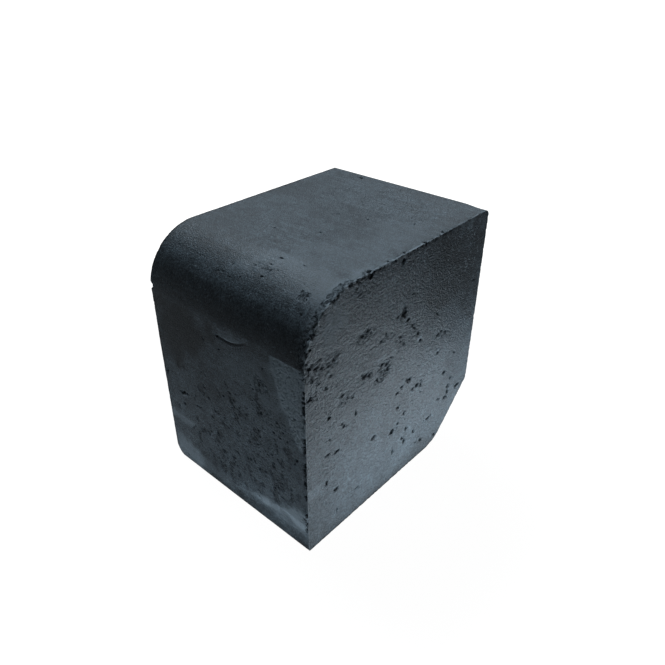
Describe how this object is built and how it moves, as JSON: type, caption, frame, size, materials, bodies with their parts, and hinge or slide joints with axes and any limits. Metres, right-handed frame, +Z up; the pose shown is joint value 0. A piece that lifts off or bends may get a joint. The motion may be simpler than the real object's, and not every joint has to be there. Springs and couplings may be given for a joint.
{
  "type": "paver edge kerb",
  "caption": "Short pressed concrete kerb block with a rounded nose along its front top edge and a splay across the bottom of its back.",
  "frame": {"origin": "on the bed, under the middle of the block's length and depth", "axes": "+X along the kerb line, +Y from the bullnosed front to the back against the paving, +Z up"},
  "size_m": [0.097, 0.1264, 0.127],
  "materials": {
    "concrete": "pressed charcoal concrete, fine pitted skin"
  },
  "bodies": {
    "root": {"kerb_block": "concrete"}
  },
  "joints": []
}
